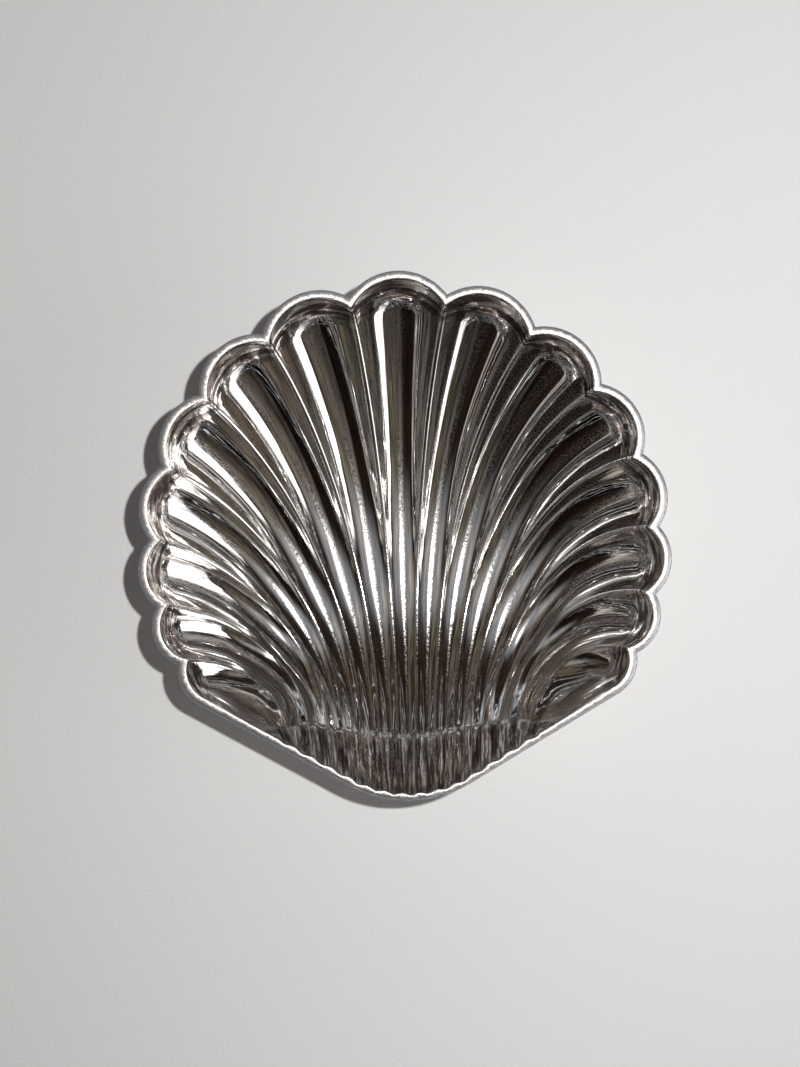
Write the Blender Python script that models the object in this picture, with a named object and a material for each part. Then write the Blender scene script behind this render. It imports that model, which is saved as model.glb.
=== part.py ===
"""Scallop-shell trinket dish in polished silver, one piece.

Seen from above, the shell's hinge is at -Y and its front lobe at +Y. Fifteen flutes start upright
on a steep back wall at the hinge, bend at a crease onto the floor, and fan out to fifteen lobes.
The surface is a grid: one way across the flutes, the other from the hinge to the rim.
A place across the flutes is t: whole at a channel's centre, half-way at a ridge, 0 at the front.
"""
import math

import bpy
import numpy as np

MM = 0.001

# Outline from above, measured from the hinge's tip
FLUTES_PER_SIDE = 7
NOTCH_CIRCLE_RADIUS = 62.4 * MM
NOTCH_CIRCLE_CENTRE = 62.0 * MM
FRONT_LOBE_WIDTH = 24.1 * MM
LAST_NOTCH_ANGLE = math.radians(116.1)
FRONT_LOBE_BULGE = 5.0 * MM
SIDE_LOBE_BULGE = 2.8 * MM
BULGE_FALLOFF = 1.5
CORNER_TURN = math.radians(68.4)
INNER_CORNER_TURN = math.radians(80.6)
HINGE_EDGE_SLOPE = math.radians(29.8)
HINGE_TIP_RADIUS = 30.2 * MM

# Rim
RIM_WIDTH = 2.0 * MM
HINGE_RIM_WIDTH = 1.6 * MM
NOTCH_RIM_WIDTH = 2.8 * MM
RIM_CROWN = 0.3 * MM
RIM_ROLL = 1.0 * MM
RIM_THICKNESS = 1.8 * MM
RIM_FOOT = 0.8

# Bowl, its depths at the ridges counted down from the rim's inner edge
BOWL_DEPTH = 24.4 * MM
CREASE_DEPTH = 12.8 * MM
FLOOR_MIDDLE = 0.39
SIDE_POWER = 5.0
BACK_WALL_POWER = 0.85
WALL = 1.2 * MM
RIB_FLAT = 0.6 * MM

# Flutes
HINGE_PITCH = 4.5 * MM
HINGE_WAVE = 0.5 * MM
CREASE_DISTANCE = 14.0 * MM
CREASE_END = 3.5 * MM
CREASE_END_POWER = 8.0
FLUTE_DEPTH_HINGE = 0.9 * MM
FLUTE_DEPTH_RIM = 6.2 * MM
GROWTH_START = 0.3
CHANNEL_POWER = 2.2
ROUND_SHARE = 0.5
END_WALL = 5.0 * MM
LONGEST_END_WALL = 0.3
FAN_START_HEADING = math.radians(5.0)
FAN_END_HEADING = math.radians(92.0)
GUIDE_REACH = 0.3
LOBE_REACH = 0.3

# Fineness of the grid
STEPS_PER_HALF_FLUTE = 3
BACK_ROWS = 4
FLOOR_ROWS = 16
END_ROWS = 5
END_ROW_CROWDING = 1.5
RIM_STEPS = 4
GUIDE_POINTS = 49

SILVER = (0.78, 0.77, 0.75, 1.0)
ROUGHNESS = 0.08

LAST_NOTCH = FLUTES_PER_SIDE - 0.5
SIDE_EDGE = FLUTES_PER_SIDE + 0.5
HALF_COLUMNS = STEPS_PER_HALF_FLUTE * (2 * FLUTES_PER_SIDE + 1)
OVERALL_LENGTH = NOTCH_CIRCLE_CENTRE + NOTCH_CIRCLE_RADIUS + FRONT_LOBE_BULGE


def direction(heading):
    """Unit vector in plan, its heading counted from +Y towards +X."""
    return np.array((math.sin(heading), math.cos(heading)))


def lerp(start, end, share):
    return start + (end - start) * share


def smooth(share):
    share = min(max(share, 0.0), 1.0)
    return share * share * (3.0 - 2.0 * share)


NOTCH_CENTRE = np.array((0.0, NOTCH_CIRCLE_CENTRE))
EDGE_DIRECTION = direction(math.pi / 2.0 - HINGE_EDGE_SLOPE)
EDGE_INWARD = direction(-HINGE_EDGE_SLOPE)
EDGE_START = HINGE_TIP_RADIUS * np.array((math.sin(HINGE_EDGE_SLOPE), 1.0 - math.cos(HINGE_EDGE_SLOPE)))


def lobe_angle(t):
    """Angle round the notch circle, from the front: the lobes narrow towards the hinge."""
    front = 2.0 * math.asin(FRONT_LOBE_WIDTH / (2.0 * NOTCH_CIRCLE_RADIUS))
    loss = (front * LAST_NOTCH - LAST_NOTCH_ANGLE) / (LAST_NOTCH ** 2 - 0.5 * LAST_NOTCH)
    return (front + 0.5 * loss) * t - loss * t * t


def lobe_ends(lobe):
    """Angles of the two notches beside a lobe."""
    high = lobe_angle(lobe + 0.5)
    low = lobe_angle(lobe - 0.5) if lobe else -high
    return low, high


def on_circle(t, radius):
    return NOTCH_CENTRE + radius * direction(lobe_angle(t))


def lobe_point(t, notch_radius, inset):
    """Point on the scalloped edge, an arc for each lobe, for t from 0 to the last notch."""
    lobe = min(int(math.floor(t + 0.5)), FLUTES_PER_SIDE - 1)
    low, high = lobe_ends(lobe)
    half_angle = (high - low) / 2.0
    nearness = 1.0 - lobe / (FLUTES_PER_SIDE - 1)
    tip = NOTCH_CIRCLE_RADIUS + lerp(SIDE_LOBE_BULGE, FRONT_LOBE_BULGE, nearness ** BULGE_FALLOFF) - inset
    half_chord = notch_radius * math.sin(half_angle)
    chord_distance = notch_radius * math.cos(half_angle)
    rise = tip - chord_distance
    radius = (half_chord ** 2 + rise ** 2) / (2.0 * rise)
    centre = tip - radius
    turn = 2.0 * (t - lobe) * math.atan2(half_chord, chord_distance - centre)
    out = direction((low + high) / 2.0)
    across = direction((low + high + math.pi) / 2.0)
    return NOTCH_CENTRE + out * (centre + radius * math.cos(turn)) + across * radius * math.sin(turn)


def corner_arc(share, notch_radius, inset, whole_turn):
    """Arc from the last notch to the hinge edge, which it meets without a bend."""
    notch = on_circle(LAST_NOTCH, notch_radius)
    line = EDGE_START + EDGE_INWARD * inset
    height = (notch - line) @ EDGE_INWARD
    along = (notch - line) @ EDGE_DIRECTION
    radius = height / (1.0 - math.cos(whole_turn))
    centre = line + EDGE_DIRECTION * (along - radius * math.sin(whole_turn)) + EDGE_INWARD * radius
    turn = whole_turn * (1.0 - share)
    return centre + radius * (EDGE_DIRECTION * math.sin(turn) - EDGE_INWARD * math.cos(turn))


def outer_front(t):
    if t <= LAST_NOTCH:
        return lobe_point(t, NOTCH_CIRCLE_RADIUS, 0.0)
    return corner_arc(t - LAST_NOTCH, NOTCH_CIRCLE_RADIUS, 0.0, CORNER_TURN)


def inner_front(t):
    notch_radius = NOTCH_CIRCLE_RADIUS - NOTCH_RIM_WIDTH
    if t <= LAST_NOTCH:
        return lobe_point(t, notch_radius, RIM_WIDTH)
    return corner_arc(t - LAST_NOTCH, notch_radius, RIM_WIDTH, INNER_CORNER_TURN)


def outer_hinge(t):
    """Point on the rounded tip or the straight edge, and the inward normal there."""
    x = t * HINGE_PITCH
    if x > EDGE_START[0]:
        share = (x - EDGE_START[0]) / EDGE_DIRECTION[0]
        return EDGE_START + EDGE_DIRECTION * share, EDGE_INWARD
    y = HINGE_TIP_RADIUS - math.sqrt(HINGE_TIP_RADIUS ** 2 - x * x)
    inward = np.array((-x, HINGE_TIP_RADIUS - y)) / HINGE_TIP_RADIUS
    return np.array((x, y)), inward


def channel_shape(t, along):
    """1 at a channel's centre and 0 at its ridges, which are round at the crease and sharp farther on."""
    across = 2.0 * abs(t - math.floor(t + 0.5))
    round_shape = 0.5 + 0.5 * math.cos(math.pi * across)
    return lerp(round_shape, 1.0 - across ** CHANNEL_POWER, smooth(along / ROUND_SHARE))


def inner_hinge(t):
    """Inner side of the rim at the hinge, gently waved by the flutes that end there."""
    outer, inward = outer_hinge(t)
    width = lerp(HINGE_RIM_WIDTH, RIM_WIDTH, smooth(t / SIDE_EDGE - 0.5))
    wave = HINGE_WAVE * (channel_shape(t, 0.0) - 0.5) * smooth(2.0 * (SIDE_EDGE - t))
    return outer + inward * (width - wave)


def crease_point(t):
    """Point on the crease, whose two ends lie beside the hinge edge."""
    end = inner_hinge(SIDE_EDGE) + EDGE_DIRECTION * CREASE_END
    share = t / SIDE_EDGE
    x = t * HINGE_PITCH + (end[0] - SIDE_EDGE * HINGE_PITCH) * share ** CREASE_END_POWER
    bow = 0.5 - 0.5 * math.cos(math.pi * share)
    return np.array((x, lerp(CREASE_DISTANCE, end[1], bow)))


def fan_curve(t):
    """Plan curve from the crease to the rim, as points and the length up to each."""
    start = crease_point(t)
    if t <= LAST_NOTCH:
        end = on_circle(t, NOTCH_CIRCLE_RADIUS - NOTCH_RIM_WIDTH)
    else:
        end = lerp(inner_front(LAST_NOTCH), inner_front(SIDE_EDGE), t - LAST_NOTCH)
    sideways = smooth(t - LAST_NOTCH)
    edge_heading = math.pi / 2.0 - HINGE_EDGE_SLOPE
    fan_share = min(t / LAST_NOTCH, 1.0)
    start_heading = FAN_START_HEADING * fan_share
    end_heading = FAN_END_HEADING * math.sin(math.pi / 2.0 * fan_share)
    reach = GUIDE_REACH * np.linalg.norm(end - start)
    near_start = start + reach * direction(lerp(start_heading, edge_heading, sideways))
    near_end = end - reach * direction(lerp(end_heading, edge_heading, sideways))
    step = np.linspace(0.0, 1.0, GUIDE_POINTS)[:, None]
    rest = 1.0 - step
    points = rest ** 3 * start + 3.0 * rest ** 2 * step * near_start
    points = points + 3.0 * rest * step ** 2 * near_end + step ** 3 * end
    lengths = np.concatenate(((0.0,), np.cumsum(np.linalg.norm(np.diff(points, axis=0), axis=1))))
    return points, lengths


def width_ratio(t):
    """Width of the flute at the rim as a share of the front one's, blended from flute to flute."""
    middle = min(t, LAST_NOTCH - 0.5)
    return (lobe_angle(middle + 0.5) - lobe_angle(middle - 0.5)) / (2.0 * lobe_angle(0.5))


def flute_depth(share, ratio):
    return lerp(FLUTE_DEPTH_HINGE, FLUTE_DEPTH_RIM * ratio, smooth((share - GROWTH_START) / (1.0 - GROWTH_START)))


def ridge_depth(t, share):
    """Depth of the bowl at the ridges, share being 0 at the crease and 1 at the rim."""
    across = 1.0 - (t / SIDE_EDGE) ** SIDE_POWER
    if share > FLOOR_MIDDLE:
        rise = BOWL_DEPTH * ((share - FLOOR_MIDDLE) / (1.0 - FLOOR_MIDDLE)) ** 2
    else:
        rise = (BOWL_DEPTH - CREASE_DEPTH) * (1.0 - share / FLOOR_MIDDLE) ** 2
    return (BOWL_DEPTH - rise) * across


def deepest_channel():
    """Greatest depth of the middle channel, where the dish stands."""
    shares = np.linspace(FLOOR_MIDDLE, 1.0, GUIDE_POINTS)
    return max(ridge_depth(0.0, share) + flute_depth(share, 1.0) for share in shares)


def back_wall(t, plain):
    """Places and depths up to the crease, hinge first."""
    top = inner_hinge(t)
    foot = crease_point(t)
    depth = ridge_depth(t, 0.0)
    if not plain:
        depth += FLUTE_DEPTH_HINGE * channel_shape(t, 0.0)
    shares = [row / BACK_ROWS for row in range(BACK_ROWS)]
    return [(*lerp(top, foot, share), depth * share ** BACK_WALL_POWER) for share in shares]


def floor_and_end(t, plain):
    """Places and depths from the crease along the floor and up the flute's end wall to the rim."""
    points, lengths = fan_curve(t)
    length = lengths[-1]
    ratio = width_ratio(t)
    end_wall = min(END_WALL * ratio, LONGEST_END_WALL * length)
    lobe_shift = inner_front(t) - points[-1]
    runs = [(length - end_wall) * row / FLOOR_ROWS for row in range(FLOOR_ROWS)]
    runs += [length - end_wall * (1.0 - row / END_ROWS) ** END_ROW_CROWDING for row in range(END_ROWS + 1)]
    places = []
    for run in runs:
        place = np.array([np.interp(run, lengths, points[:, axis]) for axis in (0, 1)])
        along = run / length
        depth = ridge_depth(t, along)
        if not plain:
            place = place + lobe_shift * max(0.0, 1.0 - (1.0 - along) / LOBE_REACH) ** 2
            wall = math.sqrt(1.0 - (1.0 - min((length - run) / end_wall, 1.0)) ** 2)
            depth += flute_depth(along, ratio) * channel_shape(t, along) * wall
        places.append((*place, depth))
    return places


def column(t, plain):
    """One line of the inside, hinge to rim. Plain leaves out the flutes and the lobes."""
    return back_wall(t, plain) + floor_and_end(t, plain)


def surface_grid(plain):
    """The inside as an array of points: rows from the hinge to the rim, columns from -X to +X."""
    right = [column(step * SIDE_EDGE / HALF_COLUMNS, plain) for step in range(HALF_COLUMNS + 1)]
    left = [[(-x, y, depth) for x, y, depth in line] for line in reversed(right[1:])]
    grid = np.array(left + right).transpose(1, 0, 2)
    grid[:, :, 1] -= OVERALL_LENGTH / 2.0
    grid[:, :, 2] = WALL - RIB_FLAT + deepest_channel() - grid[:, :, 2]
    return grid


def downward_normals(grid):
    across = np.gradient(grid, axis=1)
    along = np.gradient(grid, axis=0)
    normals = np.cross(along, across)
    return normals / np.linalg.norm(normals, axis=2)[:, :, None]


def outer_rim_point(row, last_row, column_index, x):
    """Plan place on the rim's outer edge that belongs to a grid point on the rim's inner edge."""
    t = abs(column_index - HALF_COLUMNS) * SIDE_EDGE / HALF_COLUMNS
    if row == last_row:
        outer = outer_front(t)
    elif row == 0:
        outer = outer_hinge(t)[0]
    else:
        inner_start = inner_hinge(SIDE_EDGE)[0]
        inner_end = inner_front(SIDE_EDGE)[0]
        share = (abs(x) - inner_start) / (inner_end - inner_start)
        outer = lerp(outer_hinge(SIDE_EDGE)[0], outer_front(SIDE_EDGE), share)
    side = 1.0 if column_index >= HALF_COLUMNS else -1.0
    return np.array((side * outer[0], outer[1] - OVERALL_LENGTH / 2.0))


def border_places(last_row, last_column):
    """The grid's border, once round: along the hinge, up one side, along the front, back down."""
    border = [(0, col) for col in range(last_column)]
    border += [(row, last_column) for row in range(last_row)]
    border += [(last_row, col) for col in range(last_column, 0, -1)]
    border += [(row, 0) for row in range(last_row, 0, -1)]
    return border


def rim_section(inner, outer):
    """Points from the rim's inner edge over its crown and outer edge to its foot."""
    section = []
    for step in range(1, RIM_STEPS + 1):
        turn = math.pi * step / RIM_STEPS
        share = (1.0 - math.cos(turn)) / 2.0
        place = lerp(inner[:2], outer, share)
        section.append((*place, inner[2] + RIM_CROWN * math.sin(turn) - RIM_ROLL * share ** 2))
    section.append((*lerp(inner[:2], outer, RIM_FOOT), inner[2] - RIM_THICKNESS))
    return section


def build_dish():
    """Inside grid, outside grid one wall below it without its border, and the rim that joins them."""
    inside = surface_grid(plain=False)
    outside = inside + WALL * downward_normals(surface_grid(plain=True))
    outside[:, :, 2] = np.maximum(outside[:, :, 2], 0.0)
    last_row = inside.shape[0] - 1
    last_column = 2 * HALF_COLUMNS

    vertices = []
    over = {}
    under = {}
    for row in range(last_row + 1):
        for col in range(last_column + 1):
            over[row, col] = len(vertices)
            vertices.append(inside[row, col])
    for row in range(1, last_row):
        for col in range(1, last_column):
            under[row, col] = len(vertices)
            vertices.append(outside[row, col])

    faces = []
    for row in range(last_row):
        for col in range(last_column):
            corners = ((row, col), (row, col + 1), (row + 1, col + 1), (row + 1, col))
            faces.append([over[corner] for corner in corners])
            if all(corner in under for corner in corners):
                faces.append([under[corner] for corner in reversed(corners)])

    rings = []
    for row, col in border_places(last_row, last_column):
        ring = [over[row, col]]
        inner = inside[row, col]
        for point in rim_section(inner, outer_rim_point(row, last_row, col, inner[0])):
            ring.append(len(vertices))
            vertices.append(point)
        ring.append(under[min(max(row, 1), last_row - 1), min(max(col, 1), last_column - 1)])
        rings.append(ring)
    for ring, following in zip(rings, rings[1:] + rings[:1]):
        for step in range(len(ring) - 1):
            face = [following[step], ring[step], ring[step + 1], following[step + 1]]
            if face[2] == face[3]:
                face.pop()
            faces.append(face)

    mesh = bpy.data.meshes.new("shell_dish")
    mesh.from_pydata(vertices, [], faces)
    mesh.validate()
    mesh.shade_smooth()
    dish = bpy.data.objects.new("shell_dish", mesh)
    bpy.context.scene.collection.objects.link(dish)
    return dish


def silver_material():
    material = bpy.data.materials.new("polished_silver")
    material.use_nodes = True
    shader = material.node_tree.nodes["Principled BSDF"]
    shader.inputs["Base Color"].default_value = SILVER
    shader.inputs["Metallic"].default_value = 1.0
    shader.inputs["Roughness"].default_value = ROUGHNESS
    return material


for old in list(bpy.data.objects):
    bpy.data.objects.remove(old, do_unlink=True)
dish = build_dish()
dish.data.materials.append(silver_material())
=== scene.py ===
"""Looks of the shell trinket dish: a fine mesh in mirror-polished silver on a pale table."""
import math

import bpy
import numpy as np
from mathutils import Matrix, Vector


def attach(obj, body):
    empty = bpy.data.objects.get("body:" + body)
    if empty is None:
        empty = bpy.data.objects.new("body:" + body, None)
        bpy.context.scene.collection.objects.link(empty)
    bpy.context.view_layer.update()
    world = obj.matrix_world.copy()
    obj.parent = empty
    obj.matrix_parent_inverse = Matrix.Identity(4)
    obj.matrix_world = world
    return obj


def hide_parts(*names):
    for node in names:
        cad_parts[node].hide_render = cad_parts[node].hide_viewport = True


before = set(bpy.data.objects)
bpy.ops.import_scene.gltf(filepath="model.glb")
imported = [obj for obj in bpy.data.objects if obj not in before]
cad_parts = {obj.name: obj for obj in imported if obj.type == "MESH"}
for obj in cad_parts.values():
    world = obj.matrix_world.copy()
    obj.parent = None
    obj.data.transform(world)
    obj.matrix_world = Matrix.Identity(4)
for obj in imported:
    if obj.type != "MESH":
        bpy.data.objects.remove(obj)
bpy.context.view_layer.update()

MM = 0.001

# Outline from above, measured from the hinge's tip
FLUTES_PER_SIDE = 7
NOTCH_CIRCLE_RADIUS = 62.4 * MM
NOTCH_CIRCLE_CENTRE = 62.0 * MM
FRONT_LOBE_WIDTH = 24.1 * MM
LAST_NOTCH_ANGLE = math.radians(116.1)
FRONT_LOBE_BULGE = 5.0 * MM
SIDE_LOBE_BULGE = 2.8 * MM
BULGE_FALLOFF = 1.5
CORNER_TURN = math.radians(68.4)
INNER_CORNER_TURN = math.radians(80.6)
HINGE_EDGE_SLOPE = math.radians(29.8)
HINGE_TIP_RADIUS = 30.2 * MM

# Rim. RIM_LIP rounds the top of the flutes' end walls, where they meet it.
RIM_WIDTH = 2.0 * MM
HINGE_RIM_WIDTH = 1.6 * MM
NOTCH_RIM_WIDTH = 2.8 * MM
RIM_CROWN = 0.25 * MM
RIM_ROLL = 0.45 * MM
RIM_THICKNESS = 1.8 * MM
RIM_FOOT = 0.8
RIM_LIP = 0.02

# Bowl, its depths at the ridges counted down from the rim's inner edge
BOWL_DEPTH = 24.4 * MM
CREASE_DEPTH = 12.8 * MM
FLOOR_MIDDLE = 0.39
SIDE_POWER = 5.0
BACK_WALL_POWER = 0.85
WALL = 1.2 * MM
RIB_FLAT = 0.6 * MM

# Flutes
HINGE_PITCH = 4.5 * MM
HINGE_WAVE = 0.5 * MM
CREASE_DISTANCE = 14.0 * MM
CREASE_END = 3.5 * MM
CREASE_END_POWER = 8.0
FLUTE_DEPTH_HINGE = 0.9 * MM
FLUTE_DEPTH_RIM = 6.2 * MM
GROWTH_START = 0.3
CHANNEL_POWER = 2.2
ROUND_SHARE = 0.5
END_WALL = 5.0 * MM
LONGEST_END_WALL = 0.3
LOBE_REACH = 0.3

# The fan of flutes by side: start and end headings, reaches of the guides' handles, spread
FANS = {
    1.0: (math.radians(10.0), math.radians(105.0), 0.32, 0.32, 1.0),
    -1.0: (math.radians(2.0), math.radians(80.4), 0.345, 0.242, 0.9),
}
# The left flutes' shift to the left at the bowl's depth, and the flutes over which it fades in
FAN_LEAN = 0.75 * MM
LEAN_FADE = 3.0

# Fineness of the grid
STEPS_PER_HALF_FLUTE = 10
BACK_ROWS = 18
FLOOR_ROWS = 76
END_ROWS = 18
END_ROW_CROWDING = 1.5
RIM_STEPS = 8
GUIDE_POINTS = 97

# Silver, with a coat for the haze round the highlights. The rim's bands of painted highlight, shade
# and reflection go from its inside out.
SILVER = (0.94, 0.9, 0.86)
# The dark colour below is tarnish and painted dark reflection: blotches on the back wall, and painted
# dark reflection lines on the end walls.
TARNISH_AND_PAINTED_DARK = (0.13, 0.08, 0.06)
MIRROR_ROUGHNESS = 0.035
HAZE_ROUGHNESS = 0.12
WORN_HAZE = 1.5
COAT_ROUGHNESS = 0.19
COAT_IOR = 1.6
# The rim's bands are painted light: a grey and a white painted highlight, a dark line of painted
# shade, the silver, and a painted blue-grey reflection at the outer edge.
RIM_PAINTED_LIGHT_BANDS = (
    (0.0, (0.5, 0.48, 0.46)),
    (0.22, (0.9, 0.88, 0.86)),
    (0.31, (0.1, 0.085, 0.075)),
    (0.38, SILVER),
    (0.7, SILVER),
    (0.82, (0.42, 0.47, 0.6)),
)
RIM_ROUGHNESS = (0.35, 0.5)
RIM_WAVER = 0.6

# Height of each bump
WAVE_HEIGHT = 0.02 * MM
LINE_HEIGHT = 0.09 * MM
CHASING_HEIGHT = 0.2 * MM
HAMMERING_HEIGHT = 0.04 * MM
CONTOUR_HEIGHT = 0.14 * MM
RIPPLE_HEIGHT = 0.09 * MM
FILING_HEIGHT = 0.12 * MM
RIM_GRAIN_HEIGHT = 0.05 * MM
TABLE_GRAIN_HEIGHT = 0.12 * MM

# Patterns of noise: scale in all directions or by axis, detail, roughness
WAVES = (170.0, 2.0, 0.5)
LINES = ((13.0, 0.16, 1.0), 2.0, 0.5)
CHASING = ((4.5, 0.9, 1.0), 3.0, 0.6)
HAMMERING = (650.0, 3.0, 0.6)
CONTOURS = ((2.0, 3.5, 1.0), 2.0, 0.5)
RIPPLES = (330.0, 3.0, 0.6)
SPECKLE = (2600.0, 1.0, 0.5)
HAIR = ((9.0, 0.5, 1.0), 4.0, 0.7)
BLOTCHES = ((7.0, 1.6, 1.0), 5.0, 0.7)
FILING = ((1.6, 0.9, 1.0), 4.0, 0.65)
RIM_GRAIN = (900.0, 2.0, 0.5)
TABLE_GRAIN = (1100.0, 3.0, 0.6)
ROOM_WOBBLE = (3.0, 4.0, 0.5)
ROOM_MOTTLE = ((18.0, 6.0, 10.0), 8.0, 0.65)

# Fades by v, which grows by FLOOR_V from the crease to the rim
FLOOR_V = 9.0
BACK_FADE = (0.85, 1.15, 1.0, 0.0)
END_FADE = (8.2, 9.0)
# Fades by place across a flute, 0 at a channel's centre and 0.5 at a ridge
FLANK_FADE = (0.26, 0.46)
CREST_FADE = (0.42, 0.49)
CENTRE_FADE = (0.03, 0.14, 1.0, 0.0)
# Fades by the value of a pattern
SPECK_FADE = (0.66, 0.78)
WORN_FADE = (0.4, 0.55)
HAIR_FADE = (0.68, 0.82)
# Fades for the painted dark reflection lines on the end walls, and for the back wall's blotches of
# tarnish and painted dark reflection
PAINTED_DARK_LINE_FADE = (0.46, 0.53)
TARNISH_AND_PAINTED_DARK_FADE = (0.46, 0.6, 1.0, 0.0)
FILING_FADE = (0.35, 0.65)

# Table, with painted light: lighter towards +X and a little towards -Y
TABLE_SIZE = 6.0
TABLE_PAINTED_LIGHT_COLOURS = ((0.0, (0.68, 0.673, 0.66)), (1.0, (0.85, 0.843, 0.83)))
TABLE_ROUGHNESS = 0.7
TABLE_FADE = (-0.14, 0.16)
TABLE_PAINTED_LIGHT_SLANT = 0.3

# Camera, straight above as in the photograph
PHOTO_WIDTH = 800.0
PIXELS_PER_MM = 4.1
CAMERA_HEIGHT = 435.0 * MM
CAMERA_PLACE = (-1.03 * MM, 0.5 * MM)
CAMERA_ROLL = math.radians(-1.527)
SENSOR_WIDTH = 36.0

LAMP_PLACE = (77.0 * MM, 43.0 * MM, 498.0 * MM)
LAMP_SIZE = 12.0 * MM
LAMP_POWER = 2.0


def band(degrees, *colour):
    """Stop of a colour ramp for an angle across the room: -90 at -X, 0 overhead and 90 at +X."""
    return degrees / 180.0 + 0.5, colour


# The room as the silver shows it: bands across it towards the hinge, and towards the front lobe
HINGE_BANDS = (
    band(-88, 0.10, 0.075, 0.055),
    band(-78, 0.02, 0.012, 0.008),
    band(-68, 0.09, 0.065, 0.05),
    band(-62, 0.5, 0.47, 0.42),
    band(-60, 0.015, 0.009, 0.006),
    band(-12, 0.018, 0.010, 0.007),
    band(-8, 0.12, 0.11, 0.10),
    band(7, 0.15, 0.14, 0.13),
    band(9, 0.03, 0.010, 0.006),
    band(12, 0.12, 0.10, 0.078),
    band(48, 0.16, 0.135, 0.105),
    band(56, 0.02, 0.012, 0.008),
    band(58, 3.0, 3.0, 3.05),
    band(80, 3.0, 3.0, 3.05),
    band(82, 0.04, 0.03, 0.02),
)
FRONT_BANDS = (
    band(-80, 0.03, 0.02, 0.015),
    band(-53, 0.05, 0.035, 0.025),
    band(-50, 0.13, 0.11, 0.085),
    band(-28, 0.14, 0.12, 0.095),
    band(-25, 0.02, 0.011, 0.008),
    band(-6, 0.022, 0.014, 0.010),
    band(0, 0.07, 0.055, 0.045),
    band(8, 0.022, 0.013, 0.010),
    band(50, 0.030, 0.020, 0.015),
    band(74, 0.05, 0.035, 0.025),
    band(78, 0.5, 0.48, 0.45),
    band(82, 0.03, 0.02, 0.015),
)
BAND_WAVER = 0.2
FRONT_WAVER = 0.1
FRONT_FADE = (-0.06, 0.1)
# How the bands are darkened: low at the hinge and the front, far towards the hinge, and in blotches
LOW_SHADE = (0.3, 0.5, 0.15, 1.0)
FAR_SHADE = (-0.85, -0.35, 0.35, 1.0)
MOTTLE_SHADE = (0.35, 0.7, 0.15, 1.5)
# Pale light added to the bands: fades by value, then the brightness. Streaks lie along the horizon.
PALE_COLOUR = (0.93, 0.98, 1.06)
STREAK_PITCH = 60.0
STREAK_WAVER = 0.5
STREAKS = (("rings", 0.9, 0.99), ("z", 0.35, 0.5, 1.0, 0.0)), 0.7
SHELF = (("y", 0.82, 0.88), ("z", 0.24, 0.28), ("mottle", 0.45, 0.6)), 0.9
CEILING = (
    ("y", -0.35, 0.05),
    ("y", 0.12, 0.4, 1.0, 0.0),
    ("z", 0.55, 0.85),
    ("mottle", 0.3, 0.6, 0.12, 0.32),
), 1.0

LAST_NOTCH = FLUTES_PER_SIDE - 0.5
SIDE_EDGE = FLUTES_PER_SIDE + 0.5
HALF_COLUMNS = STEPS_PER_HALF_FLUTE * (2 * FLUTES_PER_SIDE + 1)
OVERALL_LENGTH = NOTCH_CIRCLE_CENTRE + NOTCH_CIRCLE_RADIUS + FRONT_LOBE_BULGE


def direction(heading):
    """Unit vector in plan, its heading counted from +Y towards +X."""
    return np.array((math.sin(heading), math.cos(heading)))


def lerp(start, end, share):
    return start + (end - start) * share


def smooth(share):
    share = min(max(share, 0.0), 1.0)
    return share * share * (3.0 - 2.0 * share)


NOTCH_CENTRE = np.array((0.0, NOTCH_CIRCLE_CENTRE))
EDGE_DIRECTION = direction(math.pi / 2.0 - HINGE_EDGE_SLOPE)
EDGE_INWARD = direction(-HINGE_EDGE_SLOPE)
EDGE_START = HINGE_TIP_RADIUS * np.array(
    (math.sin(HINGE_EDGE_SLOPE), 1.0 - math.cos(HINGE_EDGE_SLOPE))
)


def lobe_angle(t):
    """Angle round the notch circle, from the front: the lobes narrow towards the hinge."""
    front = 2.0 * math.asin(FRONT_LOBE_WIDTH / (2.0 * NOTCH_CIRCLE_RADIUS))
    loss = (front * LAST_NOTCH - LAST_NOTCH_ANGLE) / (LAST_NOTCH ** 2 - 0.5 * LAST_NOTCH)
    return (front + 0.5 * loss) * t - loss * t * t


def lobe_ends(lobe):
    """Angles of the two notches beside a lobe."""
    high = lobe_angle(lobe + 0.5)
    low = lobe_angle(lobe - 0.5) if lobe else -high
    return low, high


def on_circle(t, radius):
    return NOTCH_CENTRE + radius * direction(lobe_angle(t))


def lobe_point(t, notch_radius, inset):
    """Point on the scalloped edge, an arc for each lobe, for t from 0 to the last notch."""
    lobe = min(int(math.floor(t + 0.5)), FLUTES_PER_SIDE - 1)
    low, high = lobe_ends(lobe)
    half_angle = (high - low) / 2.0
    nearness = 1.0 - lobe / (FLUTES_PER_SIDE - 1)
    bulge = lerp(SIDE_LOBE_BULGE, FRONT_LOBE_BULGE, nearness ** BULGE_FALLOFF)
    tip = NOTCH_CIRCLE_RADIUS + bulge - inset
    half_chord = notch_radius * math.sin(half_angle)
    chord_distance = notch_radius * math.cos(half_angle)
    rise = tip - chord_distance
    radius = (half_chord ** 2 + rise ** 2) / (2.0 * rise)
    centre = tip - radius
    turn = 2.0 * (t - lobe) * math.atan2(half_chord, chord_distance - centre)
    out = direction((low + high) / 2.0)
    across = direction((low + high + math.pi) / 2.0)
    return NOTCH_CENTRE + out * (centre + radius * math.cos(turn)) + across * radius * math.sin(turn)


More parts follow.
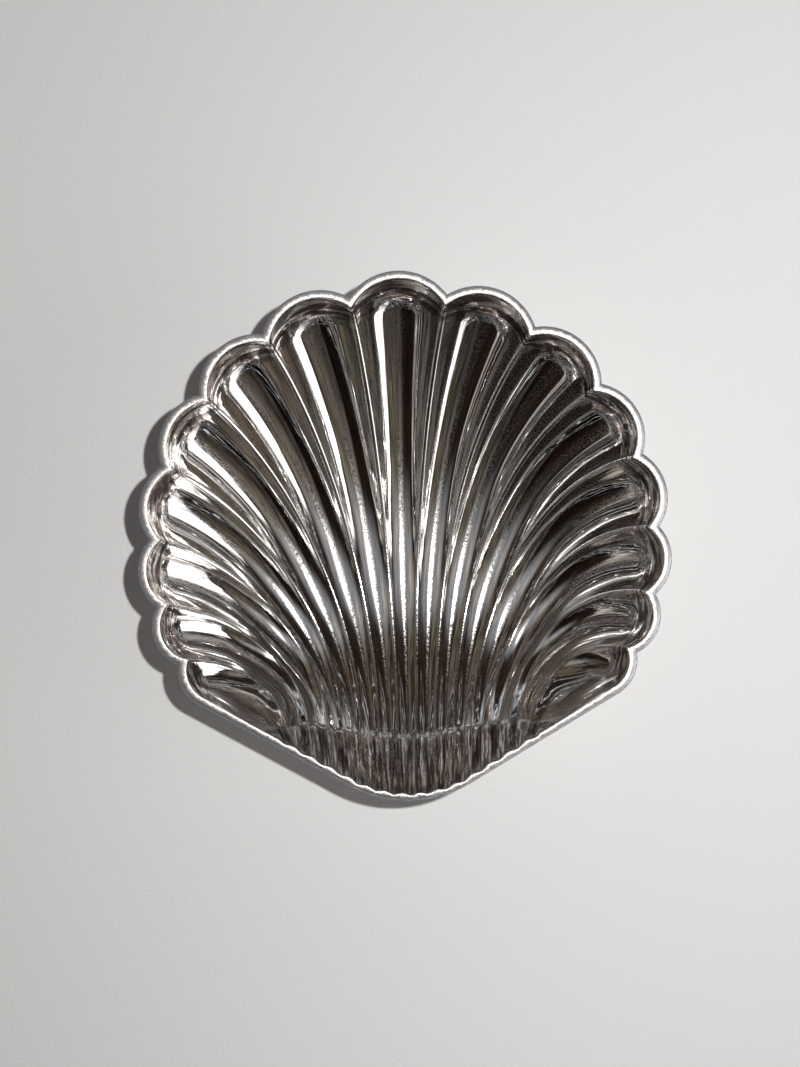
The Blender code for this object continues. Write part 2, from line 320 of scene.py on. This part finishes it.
def corner_arc(share, notch_radius, inset, whole_turn):
    """Arc from the last notch to the hinge edge, which it meets without a bend."""
    notch = on_circle(LAST_NOTCH, notch_radius)
    line = EDGE_START + EDGE_INWARD * inset
    height = (notch - line) @ EDGE_INWARD
    along = (notch - line) @ EDGE_DIRECTION
    radius = height / (1.0 - math.cos(whole_turn))
    centre = line + EDGE_DIRECTION * (along - radius * math.sin(whole_turn)) + EDGE_INWARD * radius
    turn = whole_turn * (1.0 - share)
    return centre + radius * (EDGE_DIRECTION * math.sin(turn) - EDGE_INWARD * math.cos(turn))


def outer_front(t):
    if t <= LAST_NOTCH:
        return lobe_point(t, NOTCH_CIRCLE_RADIUS, 0.0)
    return corner_arc(t - LAST_NOTCH, NOTCH_CIRCLE_RADIUS, 0.0, CORNER_TURN)


def inner_front(t):
    notch_radius = NOTCH_CIRCLE_RADIUS - NOTCH_RIM_WIDTH
    if t <= LAST_NOTCH:
        return lobe_point(t, notch_radius, RIM_WIDTH)
    return corner_arc(t - LAST_NOTCH, notch_radius, RIM_WIDTH, INNER_CORNER_TURN)


def outer_hinge(t):
    """Point on the rounded tip or the straight edge, and the inward normal there."""
    x = t * HINGE_PITCH
    if x > EDGE_START[0]:
        share = (x - EDGE_START[0]) / EDGE_DIRECTION[0]
        return EDGE_START + EDGE_DIRECTION * share, EDGE_INWARD
    y = HINGE_TIP_RADIUS - math.sqrt(HINGE_TIP_RADIUS ** 2 - x * x)
    inward = np.array((-x, HINGE_TIP_RADIUS - y)) / HINGE_TIP_RADIUS
    return np.array((x, y)), inward


def channel_shape(t, along):
    """1 at a channel's centre, 0 at its ridges, which are round at the crease and sharp farther on."""
    across = 2.0 * abs(t - math.floor(t + 0.5))
    round_shape = 0.5 + 0.5 * math.cos(math.pi * across)
    return lerp(round_shape, 1.0 - across ** CHANNEL_POWER, smooth(along / ROUND_SHARE))


def inner_hinge(t):
    """Inner side of the rim at the hinge, gently waved by the flutes that end there."""
    outer, inward = outer_hinge(t)
    width = lerp(HINGE_RIM_WIDTH, RIM_WIDTH, smooth(t / SIDE_EDGE - 0.5))
    wave = HINGE_WAVE * (channel_shape(t, 0.0) - 0.5) * smooth(2.0 * (SIDE_EDGE - t))
    return outer + inward * (width - wave)


def crease_point(t):
    """Point on the crease, whose two ends lie beside the hinge edge."""
    end = inner_hinge(SIDE_EDGE) + EDGE_DIRECTION * CREASE_END
    share = t / SIDE_EDGE
    x = t * HINGE_PITCH + (end[0] - SIDE_EDGE * HINGE_PITCH) * share ** CREASE_END_POWER
    bow = 0.5 - 0.5 * math.cos(math.pi * share)
    return np.array((x, lerp(CREASE_DISTANCE, end[1], bow)))


def fan_curve(t, side):
    """Plan curve from the crease to the rim, as points and the length up to each."""
    fan_start, fan_end, start_reach, end_reach, spread = FANS[side]
    start = crease_point(t)
    if t <= LAST_NOTCH:
        end = on_circle(t, NOTCH_CIRCLE_RADIUS - NOTCH_RIM_WIDTH)
    else:
        end = lerp(inner_front(LAST_NOTCH), inner_front(SIDE_EDGE), t - LAST_NOTCH)
    sideways = smooth(t - LAST_NOTCH)
    edge_heading = math.pi / 2.0 - HINGE_EDGE_SLOPE
    fan_share = min(t / LAST_NOTCH, 1.0)
    start_heading = lerp(fan_start * fan_share, edge_heading, sideways)
    end_heading = lerp(fan_end * math.sin(math.pi / 2.0 * fan_share ** spread), edge_heading, sideways)
    span = np.linalg.norm(end - start)
    near_start = start + start_reach * span * direction(start_heading)
    near_end = end - end_reach * span * direction(end_heading)
    step = np.linspace(0.0, 1.0, GUIDE_POINTS)[:, None]
    rest = 1.0 - step
    points = rest ** 3 * start + 3.0 * rest ** 2 * step * near_start
    points = points + 3.0 * rest * step ** 2 * near_end + step ** 3 * end
    lengths = np.concatenate(((0.0,), np.cumsum(np.linalg.norm(np.diff(points, axis=0), axis=1))))
    return points, lengths


def width_ratio(t):
    """Width of the flute at the rim as a share of the front one's, blended from flute to flute."""
    middle = min(t, LAST_NOTCH - 0.5)
    return (lobe_angle(middle + 0.5) - lobe_angle(middle - 0.5)) / (2.0 * lobe_angle(0.5))


def flute_depth(share, ratio):
    growth = smooth((share - GROWTH_START) / (1.0 - GROWTH_START))
    return lerp(FLUTE_DEPTH_HINGE, FLUTE_DEPTH_RIM * ratio, growth)


def ridge_depth(t, share):
    """Depth of the bowl at the ridges, share being 0 at the crease and 1 at the rim."""
    across = 1.0 - (t / SIDE_EDGE) ** SIDE_POWER
    if share > FLOOR_MIDDLE:
        rise = BOWL_DEPTH * ((share - FLOOR_MIDDLE) / (1.0 - FLOOR_MIDDLE)) ** 2
    else:
        rise = (BOWL_DEPTH - CREASE_DEPTH) * (1.0 - share / FLOOR_MIDDLE) ** 2
    return (BOWL_DEPTH - rise) * across


def deepest_channel():
    """Greatest depth of the middle channel, where the dish stands."""
    shares = np.linspace(FLOOR_MIDDLE, 1.0, GUIDE_POINTS)
    return max(ridge_depth(0.0, share) + flute_depth(share, 1.0) for share in shares)


RIM_HEIGHT = WALL - RIB_FLAT + deepest_channel()


def lean(t, side, depth):
    """Shift of the left flutes towards -X, greater the deeper they lie."""
    return -FAN_LEAN * depth / BOWL_DEPTH * smooth(0.5 - side * t / LEAN_FADE)


def back_wall(t, plain):
    """Places and depths up to the crease, hinge first."""
    top = inner_hinge(t)
    foot = crease_point(t)
    depth = ridge_depth(t, 0.0)
    if not plain:
        depth += FLUTE_DEPTH_HINGE * channel_shape(t, 0.0)
    shares = [row / BACK_ROWS for row in range(BACK_ROWS)]
    return [(*lerp(top, foot, share), depth * share ** BACK_WALL_POWER) for share in shares]


def floor_and_end(t, side, plain):
    """Places and depths from the crease along the floor and up the flute's end wall to the rim."""
    points, lengths = fan_curve(t, side)
    length = lengths[-1]
    ratio = width_ratio(t)
    end_wall = min(END_WALL * ratio, LONGEST_END_WALL * length)
    lobe_shift = inner_front(t) - points[-1]
    runs = [(length - end_wall) * row / FLOOR_ROWS for row in range(FLOOR_ROWS)]
    for row in range(END_ROWS + 1):
        runs.append(length - end_wall * (1.0 - row / END_ROWS) ** END_ROW_CROWDING)
    places = []
    for run in runs:
        place = np.array([np.interp(run, lengths, points[:, axis]) for axis in (0, 1)])
        along = run / length
        depth = ridge_depth(t, along)
        shift = lean(t, side, depth)
        if not plain:
            place = place + lobe_shift * max(0.0, 1.0 - (1.0 - along) / LOBE_REACH) ** 2
            near_rim = min((length - run) / end_wall, 1.0)
            lip = near_rim ** 3 / (near_rim ** 2 + RIM_LIP * (1.0 - near_rim))
            wall = math.sqrt(1.0 - (1.0 - lip) ** 2)
            depth += flute_depth(along, ratio) * channel_shape(t, along) * wall
        places.append((side * place[0] + shift, place[1], depth))
    return places


def column(t, side, plain):
    """One line of the inside, hinge to rim. Plain leaves out the flutes and the lobes."""
    wall = [(side * x + lean(t, side, depth), y, depth) for x, y, depth in back_wall(t, plain)]
    return wall + floor_and_end(t, side, plain)


def surface_grid(plain):
    """The inside as an array of points: rows from the hinge to the rim, columns from -X to +X."""
    places = [step * SIDE_EDGE / HALF_COLUMNS for step in range(HALF_COLUMNS + 1)]
    left = [column(t, -1.0, plain) for t in reversed(places[1:])]
    right = [column(t, 1.0, plain) for t in places]
    grid = np.array(left + right).transpose(1, 0, 2)
    grid[:, :, 1] -= OVERALL_LENGTH / 2.0
    grid[:, :, 2] = RIM_HEIGHT - grid[:, :, 2]
    return grid


def downward_normals(grid):
    across = np.gradient(grid, axis=1)
    along = np.gradient(grid, axis=0)
    normals = np.cross(along, across)
    return normals / np.linalg.norm(normals, axis=2)[:, :, None]


def outer_rim_point(row, last_row, column_index, x):
    """Plan place on the rim's outer edge that belongs to a grid point on the rim's inner edge."""
    t = abs(column_index - HALF_COLUMNS) * SIDE_EDGE / HALF_COLUMNS
    if row == last_row:
        outer = outer_front(t)
    elif row == 0:
        outer = outer_hinge(t)[0]
    else:
        inner_start = inner_hinge(SIDE_EDGE)[0]
        inner_end = inner_front(SIDE_EDGE)[0]
        share = (abs(x) - inner_start) / (inner_end - inner_start)
        outer = lerp(outer_hinge(SIDE_EDGE)[0], outer_front(SIDE_EDGE), share)
    side = 1.0 if column_index >= HALF_COLUMNS else -1.0
    return np.array((side * outer[0], outer[1] - OVERALL_LENGTH / 2.0))


def border_places(last_row, last_column):
    """The grid's border, once round: along the hinge, up one side, along the front, back down."""
    border = [(0, col) for col in range(last_column)]
    border += [(row, last_column) for row in range(last_row)]
    border += [(last_row, col) for col in range(last_column, 0, -1)]
    border += [(row, 0) for row in range(last_row, 0, -1)]
    return border


def rim_section(inner, outer):
    """Points from the rim's inner edge over its crown and outer edge to its foot."""
    section = []
    for step in range(1, RIM_STEPS + 1):
        turn = math.pi * step / RIM_STEPS
        share = (1.0 - math.cos(turn)) / 2.0
        place = lerp(inner[:2], outer, share)
        section.append((*place, inner[2] + RIM_CROWN * math.sin(turn) - RIM_ROLL * share ** 2))
    section.append((*lerp(inner[:2], outer, RIM_FOOT), inner[2] - RIM_THICKNESS))
    return section


def grid_uv(row, column_index):
    """u grows by 1 from channel to channel, where it is whole. v is 0 to 1 down the back wall."""
    u = column_index * SIDE_EDGE / HALF_COLUMNS + 0.5
    if row < BACK_ROWS:
        return u, row / BACK_ROWS
    return u, 1.0 + FLOOR_V * (row - BACK_ROWS) / (FLOOR_ROWS + END_ROWS)


def build_dish():
    """Inside grid, outside grid one wall below it without its border, and the rim that joins them."""
    inside = surface_grid(plain=False)
    outside = inside + WALL * downward_normals(surface_grid(plain=True))
    outside[:, :, 2] = np.maximum(outside[:, :, 2], 0.0)
    last_row = inside.shape[0] - 1
    last_column = 2 * HALF_COLUMNS

    vertices = []
    over = {}
    under = {}
    for row in range(last_row + 1):
        for col in range(last_column + 1):
            over[row, col] = len(vertices)
            vertices.append(inside[row, col])
    for row in range(1, last_row):
        for col in range(1, last_column):
            under[row, col] = len(vertices)
            vertices.append(outside[row, col])

    faces = []
    uvs = []
    for row in range(last_row):
        for col in range(last_column):
            corners = ((row, col), (row, col + 1), (row + 1, col + 1), (row + 1, col))
            faces.append([over[corner] for corner in corners])
            uvs.extend(grid_uv(*corner) for corner in corners)
            if all(corner in under for corner in corners):
                faces.append([under[corner] for corner in reversed(corners)])
                uvs.extend(grid_uv(*corner) for corner in reversed(corners))
    materials = [0] * len(faces)

    rings = []
    for row, col in border_places(last_row, last_column):
        ring = [over[row, col]]
        inner = inside[row, col]
        for point in rim_section(inner, outer_rim_point(row, last_row, col, inner[0])):
            ring.append(len(vertices))
            vertices.append(point)
        ring.append(under[min(max(row, 1), last_row - 1), min(max(col, 1), last_column - 1)])
        rings.append(ring)
    run = 0.0
    for ring, following in zip(rings, rings[1:] + rings[:1]):
        next_run = run + np.linalg.norm(vertices[following[0]] - vertices[ring[0]]) / MM
        for step in range(len(ring) - 1):
            face = [following[step], ring[step], ring[step + 1], following[step + 1]]
            corners = [(next_run, step), (run, step), (run, step + 1), (next_run, step + 1)]
            if face[2] == face[3]:
                face.pop()
                corners.pop()
            faces.append(face)
            uvs.extend((along, across / RIM_STEPS) for along, across in corners)
            materials.append(1 if step < RIM_STEPS else 0)
        run = next_run

    mesh = bpy.data.meshes.new("silver_shell")
    mesh.from_pydata([tuple(map(float, vertex)) for vertex in vertices], [], faces)
    layer = mesh.uv_layers.new(name="UVMap")
    layer.data.foreach_set("uv", np.array(uvs, np.float32).ravel())
    mesh.polygons.foreach_set("material_index", materials)
    mesh.validate()
    mesh.shade_smooth()
    dish = bpy.data.objects.new("silver_shell", mesh)
    bpy.context.scene.collection.objects.link(dish)
    return dish


def math_node(tree, operation, *values):
    node = tree.nodes.new("ShaderNodeMath")
    node.operation = operation
    for socket, value in zip(node.inputs, values):
        if isinstance(value, float):
            socket.default_value = value
        else:
            tree.links.new(value, socket)
    return node.outputs[0]


def joined(tree, operation, *values):
    """The values taken together two by two: added up, multiplied, or the greatest of them."""
    result = values[0]
    for value in values[1:]:
        result = math_node(tree, operation, result, value)
    return result


def split_node(tree, vector):
    node = tree.nodes.new("ShaderNodeSeparateXYZ")
    tree.links.new(vector, node.inputs["Vector"])
    return node.outputs


def ramp_node(tree, factor, stops):
    node = tree.nodes.new("ShaderNodeValToRGB")
    elements = node.color_ramp.elements
    while len(elements) < len(stops):
        elements.new(0.5)
    for element, (place, colour) in zip(elements, stops):
        element.position = place
        element.color = (*colour, 1.0)
    tree.links.new(factor, node.inputs["Fac"])
    return node.outputs["Color"]


def noise_node(tree, vector, pattern):
    scale, detail, roughness = pattern
    if isinstance(scale, tuple):
        mapping = tree.nodes.new("ShaderNodeMapping")
        mapping.inputs["Scale"].default_value = scale
        tree.links.new(vector, mapping.inputs["Vector"])
        vector = mapping.outputs["Vector"]
        scale = 1.0
    node = tree.nodes.new("ShaderNodeTexNoise")
    node.inputs["Scale"].default_value = scale
    node.inputs["Detail"].default_value = detail
    node.inputs["Roughness"].default_value = roughness
    tree.links.new(vector, node.inputs["Vector"])
    return node.outputs["Fac"]


def range_node(tree, value, start, end, low=0.0, high=1.0):
    """Value taken from low to high, smoothly, as it goes from start to end."""
    node = tree.nodes.new("ShaderNodeMapRange")
    node.interpolation_type = "SMOOTHSTEP"
    for name, number in (("From Min", start), ("From Max", end), ("To Min", low), ("To Max", high)):
        node.inputs[name].default_value = number
    tree.links.new(value, node.inputs["Value"])
    return node.outputs["Result"]


def new_material(name):
    """Material, its tree and its shader, and the socket for the place on the object."""
    material = bpy.data.materials.new(name)
    material.use_nodes = True
    tree = material.node_tree
    place = tree.nodes.new("ShaderNodeTexCoord").outputs["Object"]
    return material, tree, tree.nodes["Principled BSDF"], place


def uv_node(tree):
    node = tree.nodes.new("ShaderNodeUVMap")
    node.uv_map = "UVMap"
    return node.outputs["UV"]


def add_bump(tree, shader, *bumps):
    """Bump from the patterns given, each with the values that it is multiplied by."""
    heights = [joined(tree, "MULTIPLY", *bump) for bump in bumps]
    node = tree.nodes.new("ShaderNodeBump")
    node.inputs["Distance"].default_value = 1.0
    tree.links.new(joined(tree, "ADD", *heights), node.inputs["Height"])
    tree.links.new(node.outputs["Normal"], shader.inputs["Normal"])


def polished_silver():
    """Mirror silver with hazy specks, fine lines on the flanks, a back wall blotched with tarnish and
    painted dark reflection, and painted dark reflection lines on the end walls.
    """
    material, tree, shader, place = new_material("polished_silver")
    shader.inputs["Metallic"].default_value = 1.0
    shader.inputs["Coat Weight"].default_value = 1.0
    shader.inputs["Coat Roughness"].default_value = COAT_ROUGHNESS
    shader.inputs["Coat IOR"].default_value = COAT_IOR
    uv = uv_node(tree)
    u, v, _ = split_node(tree, uv)
    back = range_node(tree, v, *BACK_FADE)
    end = range_node(tree, v, *END_FADE)
    crossing = math_node(tree, "PINGPONG", u, 0.5)
    flank = range_node(tree, crossing, *FLANK_FADE)
    crest = range_node(tree, crossing, *CREST_FADE)
    centre = range_node(tree, crossing, *CENTRE_FADE)

    speckle = noise_node(tree, place, SPECKLE)
    specks = range_node(tree, speckle, *SPECK_FADE)
    hair = range_node(tree, noise_node(tree, uv, HAIR), *HAIR_FADE)
    worn = joined(
        tree, "MULTIPLY",
        math_node(tree, "MAXIMUM", crest, centre), range_node(tree, speckle, *WORN_FADE), WORN_HAZE,
    )
    haze = math_node(tree, "MULTIPLY", joined(tree, "MAXIMUM", specks, hair, worn), HAZE_ROUGHNESS)
    tree.links.new(math_node(tree, "ADD", haze, MIRROR_ROUGHNESS), shader.inputs["Roughness"])

    contours = noise_node(tree, uv, CONTOURS)
    # Painted dark reflection: dark contour lines on the end walls. The back wall's blotches are
    # tarnish and painted dark reflection.
    painted_dark_lines = math_node(tree, "MULTIPLY", range_node(tree, contours, *PAINTED_DARK_LINE_FADE), end)
    blotches = range_node(tree, noise_node(tree, uv, BLOTCHES), *TARNISH_AND_PAINTED_DARK_FADE)
    tarnish_and_painted_dark = math_node(tree, "MAXIMUM", math_node(tree, "MULTIPLY", blotches, back), painted_dark_lines)
    colours = ramp_node(tree, tarnish_and_painted_dark, ((0.0, SILVER), (1.0, TARNISH_AND_PAINTED_DARK)))
    tree.links.new(colours, shader.inputs["Base Color"])

    add_bump(
        tree, shader,
        (noise_node(tree, place, WAVES), WAVE_HEIGHT),
        (noise_node(tree, uv, LINES), flank, LINE_HEIGHT),
        (noise_node(tree, uv, CHASING), back, CHASING_HEIGHT),
        (noise_node(tree, place, HAMMERING), back, HAMMERING_HEIGHT),
        (contours, end, CONTOUR_HEIGHT),
        (noise_node(tree, place, RIPPLES), end, RIPPLE_HEIGHT),
    )
    return material


def rim_silver():
    """Satin silver in bands of painted highlight, painted shade and painted reflection along the rim,
    which crosswise filing marks make uneven.
    """
    material, tree, shader, place = new_material("rim_silver")
    shader.inputs["Metallic"].default_value = 1.0
    uv = uv_node(tree)
    v = split_node(tree, uv)["Y"]
    marks = noise_node(tree, uv, FILING)
    waver = math_node(tree, "MULTIPLY", math_node(tree, "SUBTRACT", marks, 0.5), RIM_WAVER)
    # Bands of painted highlight, painted shade and painted reflection across the rim, wavered by the
    # filing marks.
    colours = ramp_node(tree, math_node(tree, "ADD", v, waver), RIM_PAINTED_LIGHT_BANDS)
    tree.links.new(colours, shader.inputs["Base Color"])
    tree.links.new(range_node(tree, marks, *FILING_FADE, *RIM_ROUGHNESS), shader.inputs["Roughness"])
    add_bump(
        tree, shader,
        (marks, FILING_HEIGHT),
        (noise_node(tree, place, RIM_GRAIN), RIM_GRAIN_HEIGHT),
    )
    return material


def make_lamp():
    light = bpy.data.lights.new("overhead_lamp", "AREA")
    light.size = LAMP_SIZE
    light.energy = LAMP_POWER
    lamp = bpy.data.objects.new("overhead_lamp", light)
    lamp.location = LAMP_PLACE
    lamp.rotation_euler = (-Vector(LAMP_PLACE)).to_track_quat("-Z", "Y").to_euler()
    bpy.context.scene.collection.objects.link(lamp)


def make_camera():
    data = bpy.data.cameras.new("camera")
    data.sensor_fit = "HORIZONTAL"
    data.sensor_width = SENSOR_WIDTH
    data.lens = SENSOR_WIDTH * CAMERA_HEIGHT * PIXELS_PER_MM / MM / PHOTO_WIDTH
    camera = bpy.data.objects.new("camera", data)
    camera.location = (*CAMERA_PLACE, RIM_HEIGHT + CAMERA_HEIGHT)
    camera.rotation_euler = (0.0, 0.0, CAMERA_ROLL)
    bpy.context.scene.collection.objects.link(camera)
    bpy.context.scene.camera = camera


def make_floor():
    bpy.ops.mesh.primitive_plane_add(size=TABLE_SIZE)
    floor = bpy.context.object
    floor.name = "floor"
    material, tree, shader, place = new_material("pale_table")
    shader.inputs["Roughness"].default_value = TABLE_ROUGHNESS
    x, y, _ = split_node(tree, place)
    # Painted light: the table's colour is lighter towards +X and a little towards -Y.
    slant = math_node(tree, "SUBTRACT", x, math_node(tree, "MULTIPLY", y, TABLE_PAINTED_LIGHT_SLANT))
    colours = ramp_node(tree, range_node(tree, slant, *TABLE_FADE), TABLE_PAINTED_LIGHT_COLOURS)
    tree.links.new(colours, shader.inputs["Base Color"])
    add_bump(tree, shader, (noise_node(tree, place, TABLE_GRAIN), TABLE_GRAIN_HEIGHT))
    floor.data.materials.append(material)


def vector_node(tree, operation, first, name, second):
    """Vector maths on a colour, given as a socket or a value, and the input of that name."""
    node = tree.nodes.new("ShaderNodeVectorMath")
    node.operation = operation
    if isinstance(first, tuple):
        node.inputs[0].default_value = first
    else:
        tree.links.new(first, node.inputs[0])
    tree.links.new(second, node.inputs[name])
    return node.outputs["Vector"]


def make_world():
    """Dim brown room with a white window low on the +X side, as soft bands by direction."""
    world = bpy.data.worlds.new("dim_room")
    bpy.context.scene.world = world
    world.use_nodes = True
    tree = world.node_tree
    way = tree.nodes.new("ShaderNodeTexCoord").outputs["Generated"]
    x, y, z = split_node(tree, way)
    wobble = math_node(tree, "SUBTRACT", noise_node(tree, way, ROOM_WOBBLE), 0.5)
    mottle = noise_node(tree, way, ROOM_MOTTLE)

    def wavering(value, amount):
        return math_node(tree, "ADD", value, math_node(tree, "MULTIPLY", wobble, amount))

    angle = wavering(math_node(tree, "ARCTAN2", x, z), BAND_WAVER)
    across = math_node(tree, "ADD", math_node(tree, "MULTIPLY", angle, 1.0 / math.pi), 0.5)
    mix = tree.nodes.new("ShaderNodeMix")
    mix.data_type = "RGBA"
    tree.links.new(range_node(tree, wavering(y, FRONT_WAVER), *FRONT_FADE), mix.inputs["Factor"])
    tree.links.new(ramp_node(tree, across, HINGE_BANDS), mix.inputs["A"])
    tree.links.new(ramp_node(tree, across, FRONT_BANDS), mix.inputs["B"])
    height = math_node(tree, "MAXIMUM", z, math_node(tree, "ABSOLUTE", x))
    shade = joined(
        tree, "MULTIPLY",
        range_node(tree, mottle, *MOTTLE_SHADE),
        range_node(tree, height, *LOW_SHADE),
        range_node(tree, y, *FAR_SHADE),
    )
    bands = vector_node(tree, "SCALE", mix.outputs["Result"], "Scale", shade)

    turns = math_node(tree, "MULTIPLY", wavering(z, STREAK_WAVER), STREAK_PITCH)
    values = {"y": y, "z": z, "mottle": mottle, "rings": math_node(tree, "SINE", turns)}
    lights = []
    for fades, brightness in (STREAKS, SHELF, CEILING):
        fades = [range_node(tree, values[name], *limits) for name, *limits in fades]
        lights.append(joined(tree, "MULTIPLY", *fades, brightness))
    pale = vector_node(tree, "SCALE", PALE_COLOUR, "Scale", joined(tree, "ADD", *lights))
    room = vector_node(tree, "ADD", bands, 1, pale)
    tree.links.new(room, tree.nodes["Background"].inputs["Color"])


dish = build_dish()
dish.data.materials.append(polished_silver())
dish.data.materials.append(rim_silver())
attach(dish, "root")
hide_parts("shell_dish")

make_camera()
make_floor()
make_world()
make_lamp()

bpy.context.scene.view_settings.view_transform = "Standard"
